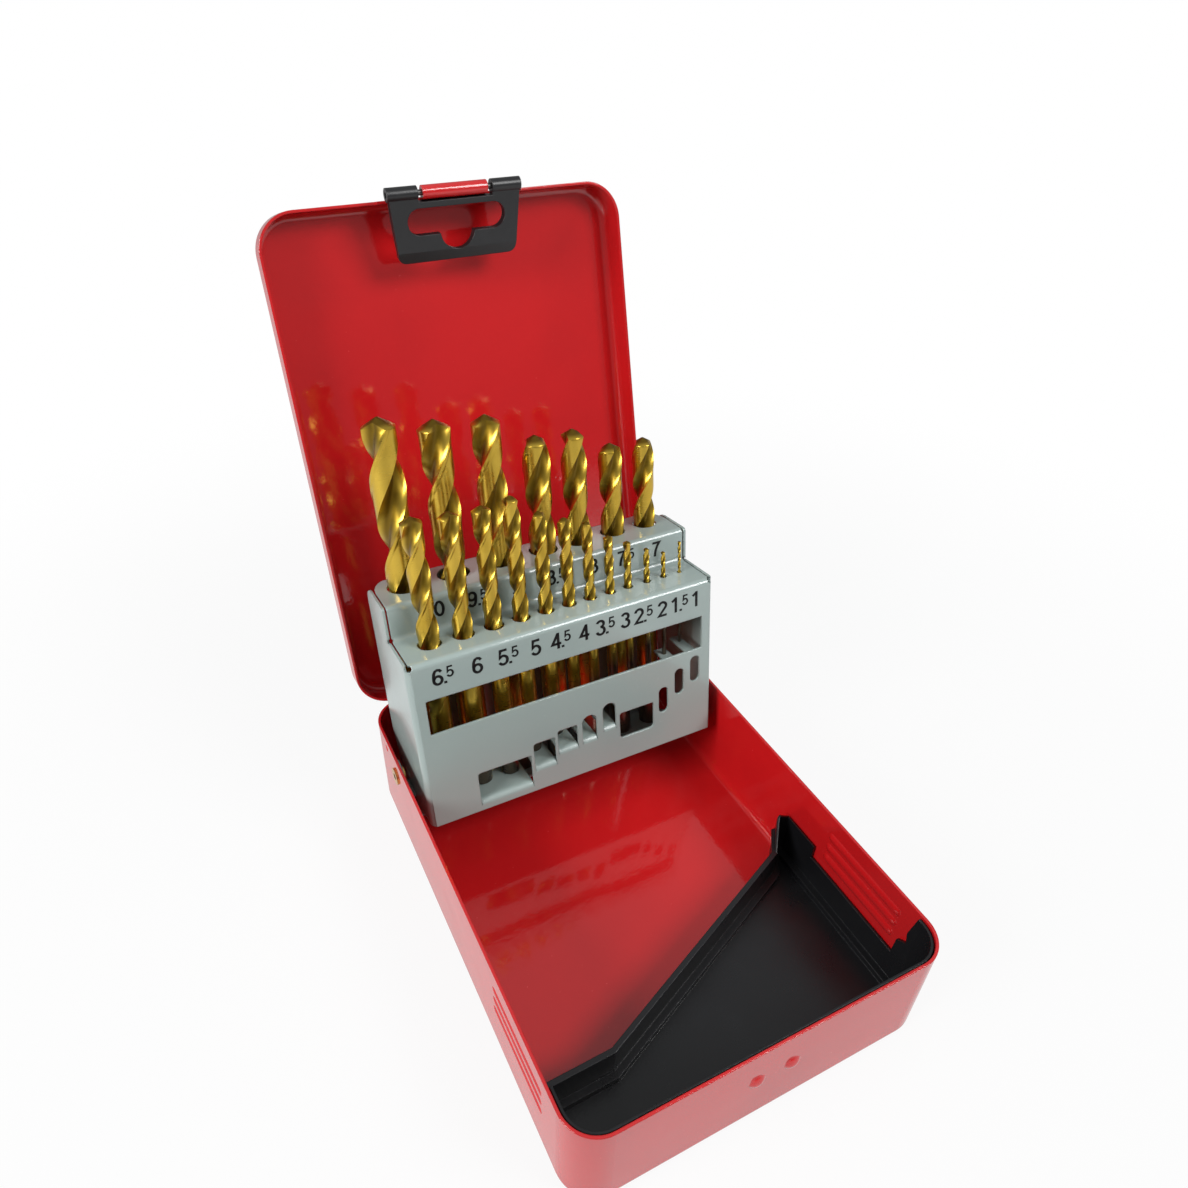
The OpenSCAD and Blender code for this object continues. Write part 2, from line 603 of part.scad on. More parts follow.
module bit_index() {
  // windows with a rolled seat: the second and third bit share one
  wide = [front_c[1] - front_d[1] / 2 - window_side, front_c[2] + front_d[2] / 2 + window_side];
  low = seat_bend_r;
  color("lightslategray") on_index() union() {
    difference() {
      union() {
        index_channel();
        index_sheet();
        for (s = [0, 1]) mirror([s, 0, 0]) index_ear();
        for (i = [0, 7, 8, 9, 10, 11]) flat_seat(i);
      }
      // long window
      face_window(-hw + long_margin, hw - long_margin, long_z, long_z + long_h, window_r / 2, window_r / 2);
      face_window(wide[0], wide[1], front_seat[1] - low, front_seat[1] + seat_window_h[1], window_r, 0);
      for (i = [3 : 6]) let (w = own_w(i))
        face_window(front_c[i] - w / 2, front_c[i] + w / 2, front_seat[i] - low,
          front_seat[i] + seat_window_h[i], i > 4 ? w / 2 - play : window_r, 0);
      // windows with the seat at the top
      let (x0 = front_c[7] - front_d[7] / 2 - 1.4 * window_side,
          x1 = front_c[8] + front_d[8] / 2 + 1.4 * window_side, z1 = front_seat[7] - index_t)
        face_window(x0, x1, z1 - seat_window_h[7], z1, window_r, 1.5 * window_r);
      for (i = [9 : 11]) let (w = small_window_w, z1 = front_seat[i] - index_t, e = w / 2 - play)
        face_window(front_c[i] - w / 2, front_c[i] + w / 2, z1 - seat_window_h[i], z1, e, e);
      // holes in both shelves
      for (i = [0 : len(front_d) - 1]) translate([front_c[i], front_row, face_h - index_t - over])
        cylinder(d = front_d[i] + hole_play, h = index_t + 2 * over, $fn = 48);
      for (i = [0 : len(back_d) - 1]) translate([back_c[i], back_v, index_h - index_t - over])
        cylinder(d = back_d[i] + hole_play, h = index_t + 2 * over, $fn = 48);
      for (s = [0, 1]) mirror([s, 0, 0]) {
        // relief holes in the bends
        translate([slot_x + slit / 2, relief_in, face_h - relief_in]) sphere(r = relief_r, $fn = 32);
        translate([slot_x + slit / 2, shelf_d + index_t / 2, face_h]) sphere(r = relief_r, $fn = 32);
        // slits beside the shelf and the ends of the back plate
        translate([slot_x, index_t + relief_r / 2, face_h - 5 * index_t]) cube([slit, shelf_d, 6 * index_t]);
        translate([hw - back_inset, index_d - 4 * index_t, -far])
          cube([back_inset - index_t - slit / 2, 8 * index_t, far + index_h - index_t - bend_r]);
        // rivet bore
        translate([ear_x - 4 * ear_t, pivot_in, pivot_up]) rotate([0, 90, 0])
          cylinder(d = rivet_d + 2 * play, h = 8 * ear_t, $fn = 40);
      }
    }
    rolled_seat(wide[0], wide[1], front_seat[1]);
    for (i = [3 : 6]) rolled_seat(front_c[i] - own_w(i) / 2, front_c[i] + own_w(i) / 2, front_seat[i]);
  }
}

// Hollow rivet at the right wall, axis along X.
module rivet() {
  x_out = case_w / 2;
  x_in = ear_x - ear_t - 4 * play;
  color("goldenrod") translate([0, pivot_y, pivot_z]) rotate([0, 90, 0]) difference() {
    union() {
      translate([0, 0, x_in - flange_t]) cylinder(d = rivet_d, h = x_out - x_in + 2 * flange_t, $fn = 40);
      translate([0, 0, x_out]) cylinder(d = flange_d, h = flange_t, $fn = 40);
      translate([0, 0, x_in - flange_t]) cylinder(d = flange_d, h = flange_t, $fn = 40);
    }
    translate([0, 0, x_in - over]) cylinder(d = rivet_bore, h = x_out - x_in + 2 * over, $fn = 40);
  }
}

module rivet_right() { rivet(); }
module rivet_left() { mirror([1, 0, 0]) rivet(); }

// Plan of the tray, shrunk by d from the gap line.
module tray_plan(d, grow = 0) {
  w = case_w - 2 * (sheet + tray_gap + d);
  l = case_l - 2 * (sheet + tray_gap + d);
  r = corner_r - sheet - tray_gap - d;
  k = len(tray_edge);
  // the rear edge moved towards the front by d
  edge = [for (i = [0 : k - 1]) let (a = tray_edge[max(i - 1, 0)], p = tray_edge[i],
      b = tray_edge[min(i + 1, k - 1)],
      u = i == 0 ? unit(p, b) : unit(a, p), v = i == k - 1 ? unit(a, p) : unit(p, b),
      n = unit([0, 0], [u[1] + v[1], -u[0] - v[0]]), c = n * [u[1], -u[0]])
    [p[0], p[1] + yf] + n * (d - grow) / c];
  intersection() {
    polygon(rounded([[-w / 2, -l / 2], [w / 2, -l / 2], [w / 2, l / 2], [-w / 2, l / 2]], [r, r, r, r], 8));
    polygon(concat([[-case_w, -case_l], [case_w, -case_l], [case_w, edge[k - 1][1]]],
      [for (i = [k - 1 : -1 : 0]) edge[i]], [[-case_w, edge[0][1]]]));
  }
}

module insert_tray() {
  foot = press_r - sheet;
  // the pointed corner starts at the fourth point of the rear edge
  tip = [tray_edge[3][0], yf + tray_edge[3][1]];
  tip_d = 6.4;
  color("black") union() {
    // floor stands on the base's floor, inside its round edge
    translate([0, 0, sheet]) linear_extrude(height = tray_t) tray_plan(foot);
    translate([0, 0, sheet]) linear_extrude(height = foot + tray_t) difference() {
      tray_plan(foot);
      tray_plan(foot + tray_t);
    }
    // step over the round edge, then the low walls
    translate([0, 0, press_r]) linear_extrude(height = tray_t) difference() {
      tray_plan(0);
      tray_plan(foot + tray_t);
    }
    translate([0, 0, press_r]) linear_extrude(height = tray_wall - press_r) difference() {
      tray_plan(0);
      tray_plan(tray_t);
    }
    // lip along the rear edge of the low walls
    translate([0, 0, tray_wall - tray_t]) linear_extrude(height = tray_t) difference() {
      tray_plan(0, tray_lip);
      tray_plan(tray_t);
    }
    // front wall up to the rim, torn off on the right
    intersection() {
      translate([0, 0, press_r + over]) linear_extrude(height = tray_front - press_r - over) difference() {
        tray_plan(0);
        tray_plan(tray_t);
      }
      union() {
        along_x(-case_w, 0) translate([yf, 0]) square([tray_left, base_h]);
        along_x(-0.01, case_w) polygon(concat([[yf, 0]], [for (p = tray_tear) p + [yf + tray_right, 0]],
          [[yf, tray_tear[4][1]]]));
      }
    }
    // taller pointed corner
    intersection() {
      translate([0, 0, tray_wall - tray_t]) linear_extrude(height = tray_peak) difference() {
        tray_plan(0);
        tray_plan(tray_t);
      }
      translate([0, tip[1] + 2 * tip_d, 0]) rotate([90, 0, 0]) linear_extrude(height = 3 * tip_d)
        polygon([[tip[0] - over, 0], [tip[0] + 0.5, tray_wall], [tray_tip, tray_peak],
          [case_w / 2, tray_peak - tray_fall], [case_w / 2, 0]]);
    }
  }
}

// Fluted part of a bit: z0 is its lower end, z1 the cutting tip, one two-flute section per ring.
module flutes(d, z0, z1) {
  r = d / 2 - land_relief;
  lead = lead_ratio * d;
  tip = r * tan(90 - point_angle / 2);
  n = d < 3 ? 8 : 10;
  rings = ceil((z1 - tip - z0) / lead * (d < 3 ? 7 : 8));
  zs = concat([for (i = [0 : rings]) [z0 + (z1 - tip - z0) * i / rings, 1]], [[z1, 0.12]]);
  k = len(zs);
  // two lands at full radius, two flutes down to the web
  pts = concat([for (q = zs) for (j = [0 : n - 1]) let (a = 360 * j / n,
      s = r * q[1] * (web + (1 - web) * pow(abs(cos(a)), 0.7)), t = a + 360 * q[0] / lead)
      [s * cos(t), s * sin(t), q[0]]], [[0, 0, z0], [0, 0, z1]]);
  faces = concat(
    [for (i = [0 : k - 2]) for (j = [0 : n - 1]) [i * n + j, (i + 1) * n + (j + 1) % n, i * n + (j + 1) % n]],
    [for (i = [0 : k - 2]) for (j = [0 : n - 1]) [i * n + j, (i + 1) * n + j, (i + 1) * n + (j + 1) % n]],
    [for (j = [0 : n - 1]) [k * n, j, (j + 1) % n]],
    [for (j = [0 : n - 1]) [k * n + 1, (k - 1) * n + (j + 1) % n, (k - 1) * n + j]]);
  polyhedron(points = pts, faces = faces);
}

module drill(d, l, f) {
  color("gold") {
    cylinder(d = d, h = l - f, $fn = 32);
    flutes(d, l - f - 1, l);
  }
}

module front_bit(i) {
  on_index() translate([front_c[i], front_row, front_seat[i]]) drill(front_d[i], front_l[i], front_f[i]);
}

module back_bit(i) {
  on_index() translate([back_c[i], back_v, -ledge_drop]) drill(back_d[i], back_l[i], back_f[i]);
}

module bit_6_5() { front_bit(0); }
module bit_6() { front_bit(1); }
module bit_5_5() { front_bit(2); }
module bit_5() { front_bit(3); }
module bit_4_5() { front_bit(4); }
module bit_4() { front_bit(5); }
module bit_3_5() { front_bit(6); }
module bit_3() { front_bit(7); }
module bit_2_5() { front_bit(8); }
module bit_2() { front_bit(9); }
module bit_1_5() { front_bit(10); }
module bit_1() { front_bit(11); }
module bit_10() { back_bit(0); }
module bit_9_5() { back_bit(1); }
module bit_9() { back_bit(2); }
module bit_8_5() { back_bit(3); }
module bit_8() { back_bit(4); }
module bit_7_5() { back_bit(5); }
module bit_7() { back_bit(6); }

base_shell();
lid_shell();
hinge_wire();
clasp();
clasp_pin();
bit_index();
rivet_left();
rivet_right();
insert_tray();
bit_6_5();
bit_6();
bit_5_5();
bit_5();
bit_4_5();
bit_4();
bit_3_5();
bit_3();
bit_2_5();
bit_2();
bit_1_5();
bit_1();
bit_10();
bit_9_5();
bit_9();
bit_8_5();
bit_8();
bit_7_5();
bit_7();
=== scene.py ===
"""Looks of a drill bit case: enamelled case, plastic clasp and tray, index, gold twist drills.

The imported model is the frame. The case's nodes keep their own meshes and get a finish. The drills
and the printed numbers are built here around the frame, in metres.
"""

from __future__ import annotations

import json
import logging
import math
from dataclasses import dataclass, field
from enum import Enum
from typing import Iterable, Sequence, Union

import bmesh
import bpy
from mathutils import Matrix, Vector

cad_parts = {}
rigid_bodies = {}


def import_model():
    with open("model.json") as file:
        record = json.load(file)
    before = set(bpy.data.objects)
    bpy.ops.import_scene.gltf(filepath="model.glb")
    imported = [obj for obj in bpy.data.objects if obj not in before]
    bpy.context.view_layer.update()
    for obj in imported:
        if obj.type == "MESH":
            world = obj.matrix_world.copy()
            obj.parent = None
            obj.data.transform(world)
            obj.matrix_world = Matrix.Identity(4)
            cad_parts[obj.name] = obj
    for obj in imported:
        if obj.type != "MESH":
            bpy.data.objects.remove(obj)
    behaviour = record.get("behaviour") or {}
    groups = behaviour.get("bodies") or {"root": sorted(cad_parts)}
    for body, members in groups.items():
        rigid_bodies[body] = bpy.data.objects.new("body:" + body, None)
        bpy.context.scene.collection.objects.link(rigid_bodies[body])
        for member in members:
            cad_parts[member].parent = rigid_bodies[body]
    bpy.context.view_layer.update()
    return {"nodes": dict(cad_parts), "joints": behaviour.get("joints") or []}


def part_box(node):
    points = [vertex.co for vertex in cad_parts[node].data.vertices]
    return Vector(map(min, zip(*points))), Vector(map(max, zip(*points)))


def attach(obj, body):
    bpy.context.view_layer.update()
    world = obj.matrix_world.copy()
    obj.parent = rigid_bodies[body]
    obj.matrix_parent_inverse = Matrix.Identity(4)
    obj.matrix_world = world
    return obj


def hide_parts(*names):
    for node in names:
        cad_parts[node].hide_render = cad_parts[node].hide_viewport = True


LOG = logging.getLogger("drill_bit_case")
MM = 0.001
EDGE_SAMPLES = 4
LACQUER_IOR = 1.5
Number = Union[float, int]
Colour = tuple[float, float, float]
Point = tuple[float, float]
Triple = tuple[float, float, float]
Stops = Sequence[tuple[float, float]]
WHITE: Colour = (1.0, 1.0, 1.0)


# ---------------------------------------------------------------- shaders


class Channel:
    """Output of a shader node that takes part in Python expressions."""

    def __init__(self, graph: "Graph", socket: bpy.types.NodeSocket) -> None:
        """Wraps one output socket.

        Args:
            graph: The graph that the socket's node is in.
            socket: The output socket.
        """
        self.graph = graph
        self.socket = socket

    def __add__(self, other: "Operand") -> "Channel":
        """Sum."""
        return self.graph.math("ADD", self, other)

    __radd__ = __add__

    def __sub__(self, other: "Operand") -> "Channel":
        """Difference."""
        return self.graph.math("SUBTRACT", self, other)

    def __rsub__(self, other: "Operand") -> "Channel":
        """Difference with the channel on the right."""
        return self.graph.math("SUBTRACT", other, self)

    def __mul__(self, other: "Operand") -> "Channel":
        """Product."""
        return self.graph.math("MULTIPLY", self, other)

    __rmul__ = __mul__

    def clamped(self) -> "Channel":
        """The value held between 0 and 1."""
        return self.graph.math("MAXIMUM", self.graph.math("MINIMUM", self, 1.0), 0.0)


Operand = Union[Channel, Number]
Value = Union[Channel, Number, Sequence[float]]


class Graph:
    """Node tree of one material or world."""

    def __init__(self, owner: Union[bpy.types.Material, bpy.types.World]) -> None:
        """Empties the owner's node tree.

        Args:
            owner: The material or the world.
        """
        owner.use_nodes = True
        self.owner = owner
        self.tree = owner.node_tree
        self.tree.nodes.clear()

    @classmethod
    def material(cls, name: str) -> "Graph":
        """Starts the graph of a new material."""
        return cls(bpy.data.materials.new(name))

    def node(self, kind: str, settings: dict[str, object] | None = None,
             inputs: dict[Union[str, int], Value] | None = None) -> bpy.types.Node:
        """Adds a node.

        Args:
            kind: The node's type.
            settings: Attributes, set first. "stops" holds a ramp's positions and colours.
            inputs: Values or channels by socket name or number.

        Returns:
            The node.
        """
        made = self.tree.nodes.new(kind)
        for key, value in (settings or {}).items():
            if key == "stops":
                self._stops(made.color_ramp, value)
            else:
                setattr(made, key, value)
        for key, value in (inputs or {}).items():
            self.feed(made.inputs[key], value)
        return made

    @staticmethod
    def _stops(ramp: bpy.types.ColorRamp, stops: Stops) -> None:
        """Sets a ramp's grey stops."""
        while len(ramp.elements) < len(stops):
            ramp.elements.new(1.0)
        for element, (position, grey) in zip(ramp.elements, stops):
            element.position = position
            element.color = (grey, grey, grey, 1.0)

    def feed(self, socket: bpy.types.NodeSocket, value: Value) -> None:
        """Links or sets one input socket.

        Args:
            socket: The input.
            value: A channel to link, or a plain value.
        """
        if isinstance(value, Channel):
            self.tree.links.new(value.socket, socket)
        elif isinstance(value, (tuple, list)) and socket.type == "RGBA" and len(value) == 3:
            socket.default_value = (*value, 1.0)
        else:
            socket.default_value = value

    def out(self, node: bpy.types.Node, socket: Union[str, int] = 0) -> Channel:
        """Wraps an output of a node."""
        return Channel(self, node.outputs[socket])

    def math(self, operation: str, a: Operand, b: Operand) -> Channel:
        """A Math node on two values."""
        return self.out(self.node("ShaderNodeMath", {"operation": operation}, {0: a, 1: b}))

    def place(self, scale: Triple = (1, 1, 1)) -> Channel:
        """Object coordinates, scaled along each axis."""
        coords = self.out(self.node("ShaderNodeTexCoord"), "Object")
        return self.out(self.node("ShaderNodeMapping", {"vector_type": "POINT"},
                                  {"Vector": coords, "Scale": scale}))

    def axis(self, vector: Channel, which: str) -> Channel:
        """One component of a vector, X, Y or Z."""
        return self.out(self.node("ShaderNodeSeparateXYZ", None, {"Vector": vector}), which)

    def noise(self, scale: float, detail: float = 2.0, rough: float = 0.5,
              vector: Channel | None = None) -> Channel:
        """Noise on Object coordinates.

        Args:
            scale: Features per metre.
            detail: Octaves.
            rough: Weight of the finer octaves.
            vector: Other coordinates.

        Returns:
            The grey value.
        """
        vector = vector or self.place()
        made = self.node("ShaderNodeTexNoise", None,
                         {"Vector": vector, "Scale": scale, "Detail": detail, "Roughness": rough})
        return self.out(made, 0)

    def ramp(self, value: Channel, stops: Stops) -> Channel:
        """A grey ramp that eases between its stops.

        Args:
            value: The input.
            stops: Positions and greys.

        Returns:
            The grey value.
        """
        made = self.node("ShaderNodeValToRGB", {"stops": stops}, {0: value})
        made.color_ramp.interpolation = "EASE"
        return self.out(made, 0)

    @staticmethod
    def spread(grey: Channel, middle: float, width: float) -> Channel:
        """Spreads a grey value of 0 to 1 evenly about a middle value."""
        return grey * width + (middle - width / 2)

    def mix(self, factor: Operand, a: Value, b: Value) -> Channel:
        """Mixes two colours."""
        made = self.node("ShaderNodeMix", {"data_type": "RGBA"}, {0: factor, 6: a, 7: b})
        return self.out(made, 2)

    def bump(self, height: Channel, distance: float, edge: float = 0.0) -> Channel:
        """A Bump node.

        Args:
            height: The height channel.
            distance: Depth in metres.
            edge: Radius that the shading rounds edges to, in metres.

        Returns:
            The normal.
        """
        inputs = {"Distance": distance, "Height": height}
        if edge:
            rounded = self.node("ShaderNodeBevel", {"samples": EDGE_SAMPLES}, {"Radius": edge})
            inputs["Normal"] = self.out(rounded)
        return self.out(self.node("ShaderNodeBump", None, inputs))

    def along(self, axis: Vector, origin: Vector) -> Channel:
        """Distance along an axis from a point, in metres.

        Args:
            axis: The unit direction.
            origin: Where the distance is nought.

        Returns:
            The distance.
        """
        dot = self.node("ShaderNodeVectorMath", {"operation": "DOT_PRODUCT"},
                        {0: self.place(), 1: tuple(axis)})
        return self.out(dot, "Value") - origin.dot(axis)

    def off_axis(self, origin: Vector, height: Channel) -> Channel:
        """Distance from an axis, in metres.

        Args:
            origin: A point of the axis.
            height: Distance along the axis from that point.

        Returns:
            The distance.
        """
        reach = self.out(self.node("ShaderNodeVectorMath", {"operation": "DISTANCE"},
                                   {0: self.place(), 1: tuple(origin)}), "Value")
        return self.math("SQRT", (reach * reach - height * height).clamped(), 0.0)

    def principled(self, inputs: dict[str, Value]) -> bpy.types.Material:
        """Ends the graph with a Principled shader.

        Args:
            inputs: Values by socket name.

        Returns:
            The finished material.
        """
        shader = self.node("ShaderNodeBsdfPrincipled", None, inputs)
        self.surface(self.out(shader, "BSDF"))
        return self.owner

    def surface(self, shader: Channel) -> None:
        """Links a shader to the output."""
        self.node("ShaderNodeOutputMaterial", None, {"Surface": shader})


# ---------------------------------------------------------------- finishes


class Slot(Enum):
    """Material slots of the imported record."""

    GOLD = "gold_bit"
    PLASTIC = "black_plastic"


@dataclass(frozen=True)
class Enamel:
    """Glossy sprayed enamel on sheet metal, with flecks, orange peel and long waves."""

    name: str
    colour: Colour
    thin: Colour
    roughness: float = 0.07
    rough_spread: float = 0.08
    rough_scale: float = 60.0
    cloud_scale: float = 22.0
    cloud_stops: Stops = ((0.35, 0.0), (0.7, 1.0))
    fleck_scale: float = 1100.0
    fleck_stops: Stops = ((0.74, 0.0), (0.78, 1.0))
    fleck_share: float = 0.5
    fleck_gain: float = 1.5
    fleck_lift: float = 0.12
    peel_scale: float = 750.0
    peel_depth: float = 0.000022
    wave_scale: float = 70.0
    wave_depth: float = 0.00010
    gloss: float = 0.5
    edge: float = 0.5 * MM

    def build(self) -> bpy.types.Material:
        """Returns the material."""
        g = Graph.material(self.name)
        cloud = g.ramp(g.noise(self.cloud_scale, 3.0), self.cloud_stops)
        colour = g.mix(cloud, self.colour, self.thin)
        fleck = g.ramp(g.noise(self.fleck_scale, 2.0, 0.7), self.fleck_stops)
        pale = tuple(min(1.0, self.fleck_gain * c + self.fleck_lift) for c in self.colour)
        colour = g.mix(fleck * self.fleck_share, colour, pale)
        peel = g.noise(self.peel_scale, 1.5) * self.peel_depth
        wave = g.noise(self.wave_scale, 1.0) * self.wave_depth
        rough = g.spread(g.noise(self.rough_scale, 3.0), self.roughness, self.rough_spread)
        return g.principled({"Base Color": colour, "Roughness": rough, "IOR": LACQUER_IOR,
                             "Normal": g.bump(peel + wave, 1.0, self.edge),
                             "Specular IOR Level": self.gloss})


@dataclass(frozen=True)
class GoldCoat:
    """Gold coating on ground steel, worn to bare steel at the shank's end, with painted shade
    darkening the flutes.
    """

    name: str = "gold_coating"
    colour: Colour = (0.68, 0.455, 0.062)
    dark: Colour = (0.53, 0.34, 0.036)
    # Painted shade: the colour of the flutes' bottoms, where shade falls.
    painted_flute_shade: Colour = (0.19, 0.115, 0.010)
    steel: Colour = (0.20, 0.14, 0.10)
    coat: float = 0.15
    coat_roughness: float = 0.15
    roughness: float = 0.30
    rough_spread: float = 0.16
    flute_rough: float = 0.14
    # Painted shade: the mask is 1 deep in the flutes and 0 on the lands.
    flute_shade_stops: Stops = ((0.5, 1.0), (0.93, 0.0))
    tone_scale: float = 120.0
    tone_stops: Stops = ((0.35, 0.0), (0.8, 1.0))
    bare_from: float = 0.75
    bare_fade: float = 0.5
    grain_across: float = 250.0
    grain_along: float = 2600.0
    grain_depth: float = 0.0000012

    def build(self, base: Vector, axis: Vector, radius: float,
              bare: float) -> bpy.types.Material:
        """Builds the coating of one drill, with painted shade in its flutes.

        Args:
            base: The middle of the shank's end, in metres.
            axis: The drill's axis.
            radius: The drill's radius in metres.
            bare: Length of the bare end in metres.

        Returns:
            The material.
        """
        g = Graph.material(self.name)
        height = g.along(axis, base)
        # Painted shade mask: 1 deep in the flutes, by distance from the axis, 0 on the lands; it
        # also raises the roughness there.
        flute = g.ramp(g.off_axis(base, height) * (1.0 / radius), self.flute_shade_stops)
        end = ((height - self.bare_from * bare) * (1.0 / (self.bare_fade * bare))).clamped()
        rings = self.grain(g, height)
        tone = g.ramp(g.noise(self.tone_scale), self.tone_stops)
        # The flutes are painted darker towards their bottom as shade.
        gold = g.mix(flute, g.mix(tone, self.colour, self.dark), self.painted_flute_shade)
        rough = g.spread(rings, self.roughness, self.rough_spread) + flute * self.flute_rough
        return g.principled({"Base Color": g.mix(end, self.steel, gold), "Metallic": 1.0,
                             "Roughness": rough, "Coat Weight": self.coat,
                             "Coat Roughness": self.coat_roughness,
                             "Normal": g.bump(rings, self.grain_depth)})

    def grain(self, g: Graph, height: Channel) -> Channel:
        """Fine grinding marks round the axis, from the height along it."""
        where = g.place(scale=(self.grain_across,) * 3)
        rings = g.node("ShaderNodeCombineXYZ", None,
                       {0: g.axis(where, "X"), 1: g.axis(where, "Y"), 2: height * self.grain_along})
        return g.noise(1.0, 2.0, 0.6, g.out(rings))


@dataclass(frozen=True)
class Plastic:
    """Black plastic with a fine grain and scuffed places."""

    name: str
    colour: Colour = (0.010, 0.010, 0.011)
    roughness: float = 0.35
    rough_spread: float = 0.2
    rough_scale: float = 90.0
    grain: float = 1500.0
    depth: float = 0.00002
    wave_scale: float = 40.0
    wave_depth: float = 0.0003
    scuffs: float = 1.6
    scuff_scale: float = 70.0
    scuff_stops: Stops = ((0.5, 0.0), (0.8, 1.0))
    edge: float = 0.4 * MM

    def build(self) -> bpy.types.Material:
        """Returns the material."""
        g = Graph.material(self.name)
        scuff = g.ramp(g.noise(self.scuff_scale, 4.0, 0.6), self.scuff_stops)
        colour = g.mix(scuff, self.colour, tuple(self.scuffs * c for c in self.colour))
        rough = g.spread(g.noise(self.rough_scale, 3.0), self.roughness, self.rough_spread)
        height = g.noise(self.grain, 1.0) * self.depth
        height = height + g.noise(self.wave_scale, 1.0) * self.wave_depth
        return g.principled({"Base Color": colour, "Roughness": rough, "IOR": LACQUER_IOR,
                             "Normal": g.bump(height, 1.0, self.edge)})


@dataclass(frozen=True)
class Metal:
    """Bare metal with fine scratches."""

    name: str
    colour: Colour
    roughness: float = 0.25
    rough_spread: float = 0.2
    dull: float = 0.75
    dull_scale: float = 200.0
    scratch_scale: Triple = (300, 2500, 2500)
    scratch_depth: float = 0.00001

    def build(self) -> bpy.types.Material:
        """Returns the material."""
        g = Graph.material(self.name)
        grain = g.noise(1.0, vector=g.place(scale=self.scratch_scale))
        dulled = tuple(self.dull * c for c in self.colour)
        return g.principled({"Base Color": g.mix(g.noise(self.dull_scale), self.colour, dulled),
                             "Metallic": 1.0,
                             "Roughness": g.spread(grain, self.roughness, self.rough_spread),
                             "Normal": g.bump(grain, self.scratch_depth)})


@dataclass(frozen=True)
class Ink:
    """Matt black screen print with thin places."""

    name: str = "number_ink"
    colour: Colour = (0.004, 0.004, 0.0045)
    thin: Colour = (0.014, 0.015, 0.015)
    thin_scale: float = 900.0
    thin_stops: Stops = ((0.45, 0.0), (0.8, 1.0))
    roughness: float = 0.55
    rough_spread: float = 0.2
    rough_scale: float = 400.0
    gloss: float = 0.25

    def build(self) -> bpy.types.Material:
        """Returns the material."""
        g = Graph.material(self.name)
        thin = g.ramp(g.noise(self.thin_scale), self.thin_stops)
        rough = g.spread(g.noise(self.rough_scale), self.roughness, self.rough_spread)
        return g.principled({"Base Color": g.mix(thin, self.colour, self.thin),
                             "Roughness": rough, "Specular IOR Level": self.gloss})


Finish = Union[Enamel, Plastic, Metal]


# ---------------------------------------------------------------- meshes


def finish_mesh(bm: bmesh.types.BMesh, name: str, material: bpy.types.Material,
                sharp: float = 35.0) -> bpy.types.Object:
    """Turns a bmesh into a shaded object at the origin.

    Args:
        bm: The mesh, which is freed.
        name: The piece's name.
        material: Its material.
        sharp: Edges over this angle in degrees stay sharp.

    Returns:
        The object.
    """
    for face in bm.faces:
        face.smooth = True
    limit = math.radians(sharp)
    for edge in bm.edges:
        edge.smooth = len(edge.link_faces) == 2 and edge.calc_face_angle(0.0) < limit
    mesh = bpy.data.meshes.new(name)
    bm.to_mesh(mesh)
    bm.free()
    mesh.materials.append(material)
    made = bpy.data.objects.new(name, mesh)
    bpy.context.scene.collection.objects.link(made)
    return made


def carry(piece: bpy.types.Object, body: str) -> None:
    """Makes a piece ride on a body."""
    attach(piece, body)
    LOG.info("%s rides on %s", piece.name, body)


def dress(node: bpy.types.Object, material: bpy.types.Material) -> None:
    """Gives a carried-over node its material."""
    node.data.materials.clear()
    node.data.materials.append(material)
    LOG.info("%s wears %s", node.name, material.name)


# ---------------------------------------------------------------- drills


def size_name(prefix: str, size: float) -> str:
    """Names a piece after its size in millimetres, with an underscore for the point."""
    return prefix + f"{size:g}".replace(".", "_")


